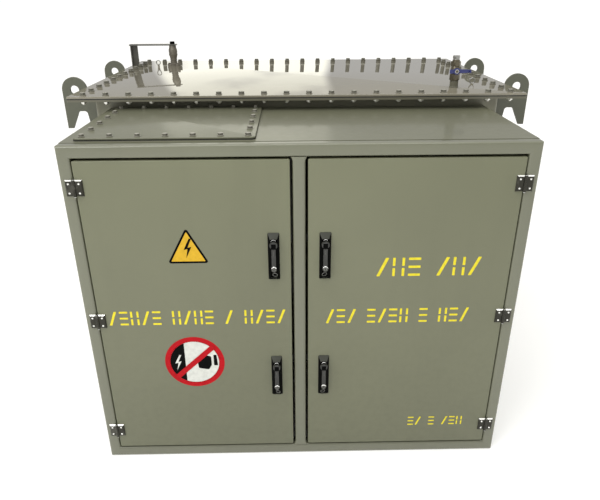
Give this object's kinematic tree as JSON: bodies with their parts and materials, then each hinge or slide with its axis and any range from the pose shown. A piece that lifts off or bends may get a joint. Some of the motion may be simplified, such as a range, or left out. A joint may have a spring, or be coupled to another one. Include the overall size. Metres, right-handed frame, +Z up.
{
  "type": "pad-mounted transformer",
  "caption": "Pad-mounted distribution transformer: oil tank with a bolted lid, lifting lugs and radiators behind a low cable cabinet with two hinged, lockable doors.",
  "frame": {"origin": "on the pad, midway between the door face and the back wall of the tank, on the centre line", "axes": "+X to the right seen from the doors, +Y from the doors to the back, +Z up"},
  "size_m": [1.884, 1.8205, 1.323],
  "materials": {
    "tank_paint": "satin grey-green enamel",
    "cabinet_paint": "satin grey-green enamel",
    "lid_paint": "glossy grey-green enamel",
    "gasket_rubber": "matte",
    "stainless": "brushed",
    "galvanised": "dull zinc",
    "dark_metal": "satin",
    "black_zinc": "satin black",
    "valve_brass": "cast",
    "blue_enamel": "glossy",
    "red_enamel": "glossy",
    "epoxy_resin": "glossy cast resin",
    "tinned_copper": "tin plated",
    "copper": "bare copper",
    "plate_aluminium": "etched",
    "core_steel": "laminated",
    "winding_paper": "varnished paper wrap"
  },
  "bodies": {
    "housing": {"base_skids": "tank_paint", "tank_shell": "tank_paint", "hold_down_cleats": "tank_paint", "lifting_lugs": "tank_paint", "lid_gasket": "gasket_rubber", "tank_lid": "lid_paint", "lid_bolts": "lid_paint", "lid_eyes": "stainless", "relief_valve": "dark_metal", "relief_guard_strap": "dark_metal", "relief_top_bolt": "dark_metal", "fill_valve_nipple": "tank_paint", "fill_valve_body": "valve_brass", "fill_valve_plug": "galvanised", "radiators": "tank_paint", "frame_posts": "cabinet_paint", "frame_rails": "cabinet_paint", "cabinet_sides": "cabinet_paint", "cabinet_roof": "lid_paint", "roof_cover_gasket": "gasket_rubber", "roof_access_cover": "lid_paint", "roof_cover_bolts": "lid_paint", "compartment_barrier": "cabinet_paint", "hinge_frame_leaves": "stainless", "hinge_pins": "stainless", "hinge_frame_screws": "stainless", "hv_bushings": "epoxy_resin", "parking_stands": "galvanised", "fuse_housings": "epoxy_resin", "lv_bushings": "epoxy_resin", "lv_spades": "tinned_copper", "ground_pads": "galvanised", "neutral_strap": "copper", "gauge_housings": "stainless", "nameplate": "plate_aluminium", "drain_valve_body": "valve_brass", "core": "core_steel", "core_clamps": "tank_paint", "lv_windings": "winding_paper", "hv_windings": "winding_paper"},
    "door_left": {"door_left": "cabinet_paint", "hinge_door_leaves_left": "stainless", "handle_bases_left": "black_zinc"},
    "latch_left_lower": {"latch_cam_left_lower": "galvanised"},
    "lever_left_lower": {"swing_lever_left_lower": "black_zinc"},
    "latch_left_upper": {"latch_cam_left_upper": "galvanised"},
    "lever_left_upper": {"swing_lever_left_upper": "black_zinc"},
    "door_right": {"door_right": "cabinet_paint", "hinge_door_leaves_right": "stainless", "handle_bases_right": "black_zinc"},
    "latch_right_lower": {"latch_cam_right_lower": "galvanised"},
    "lever_right_lower": {"swing_lever_right_lower": "black_zinc"},
    "latch_right_upper": {"latch_cam_right_upper": "galvanised"},
    "lever_right_upper": {"swing_lever_right_upper": "black_zinc"},
    "fill_lever": {"fill_valve_handle": "blue_enamel"},
    "drain_wheel": {"drain_handwheel": "red_enamel"},
    "switch_handle": {"load_break_handle": "black_zinc"},
    "tap_handle": {"tap_changer_handle": "black_zinc"},
    "level_needle": {"level_pointer": "black_zinc"},
    "thermometer_needle": {"thermometer_pointer": "black_zinc"}
  },
  "joints": [
    {"name": "door_left_swing", "type": "hinge", "parent": "housing", "child": "door_left", "pos_m": [-0.6605, -0.7935, 0.575], "axis": [0, 0, 1], "range_deg": [-120, 0]},
    {"name": "door_right_swing", "type": "hinge", "parent": "housing", "child": "door_right", "pos_m": [0.6605, -0.7935, 0.575], "axis": [0, 0, 1], "range_deg": [0, 120]},
    {"name": "latch_left_lower_turn", "type": "hinge", "parent": "door_left", "child": "latch_left_lower", "pos_m": [-0.085, -0.7875, 0.395], "axis": [0, 1, 0], "range_deg": [0, 90]},
    {"name": "lever_left_lower_lift", "type": "hinge", "parent": "latch_left_lower", "child": "lever_left_lower", "pos_m": [-0.085, -0.8058, 0.395], "axis": [1, 0, 0], "range_deg": [-40, 0]},
    {"name": "latch_left_upper_turn", "type": "hinge", "parent": "door_left", "child": "latch_left_upper", "pos_m": [-0.085, -0.7875, 0.845], "axis": [0, 1, 0], "range_deg": [0, 90]},
    {"name": "lever_left_upper_lift", "type": "hinge", "parent": "latch_left_upper", "child": "lever_left_upper", "pos_m": [-0.085, -0.8058, 0.845], "axis": [1, 0, 0], "range_deg": [-40, 0]},
    {"name": "latch_right_lower_turn", "type": "hinge", "parent": "door_right", "child": "latch_right_lower", "pos_m": [0.074, -0.7875, 0.395], "axis": [0, 1, 0], "range_deg": [-90, 0]},
    {"name": "lever_right_lower_lift", "type": "hinge", "parent": "latch_right_lower", "child": "lever_right_lower", "pos_m": [0.074, -0.8058, 0.395], "axis": [1, 0, 0], "range_deg": [-40, 0]},
    {"name": "latch_right_upper_turn", "type": "hinge", "parent": "door_right", "child": "latch_right_upper", "pos_m": [0.074, -0.7875, 0.845], "axis": [0, 1, 0], "range_deg": [-90, 0]},
    {"name": "lever_right_upper_lift", "type": "hinge", "parent": "latch_right_upper", "child": "lever_right_upper", "pos_m": [0.074, -0.8058, 0.845], "axis": [1, 0, 0], "range_deg": [-40, 0]},
    {"name": "fill_valve_turn", "type": "hinge", "parent": "housing", "child": "fill_lever", "pos_m": [0.603, -0.1578, 1.268], "axis": [0, 1, 0], "range_deg": [-90, 0]},
    {"name": "drain_valve_turn", "type": "hinge", "parent": "housing", "child": "drain_wheel", "pos_m": [0.13, -0.2879, 0.14], "axis": [0, -1, 0], "range_deg": [0, 330]},
    {"name": "load_break_turn", "type": "hinge", "parent": "housing", "child": "switch_handle", "pos_m": [-0.09, -0.2479, 0.84], "axis": [0, -1, 0], "range_deg": [0, 90]},
    {"name": "tap_changer_turn", "type": "hinge", "parent": "housing", "child": "tap_handle", "pos_m": [-0.09, -0.2479, 0.47], "axis": [0, -1, 0], "range_deg": [-72, 72]},
    {"name": "level_needle_swing", "type": "hinge", "parent": "housing", "child": "level_needle", "pos_m": [0.23, -0.2499, 0.96], "axis": [0, -1, 0], "range_deg": [-60, 60]},
    {"name": "thermometer_needle_swing", "type": "hinge", "parent": "housing", "child": "thermometer_needle", "pos_m": [0.37, -0.2499, 0.96], "axis": [0, -1, 0], "range_deg": [-110, 130]}
  ]
}
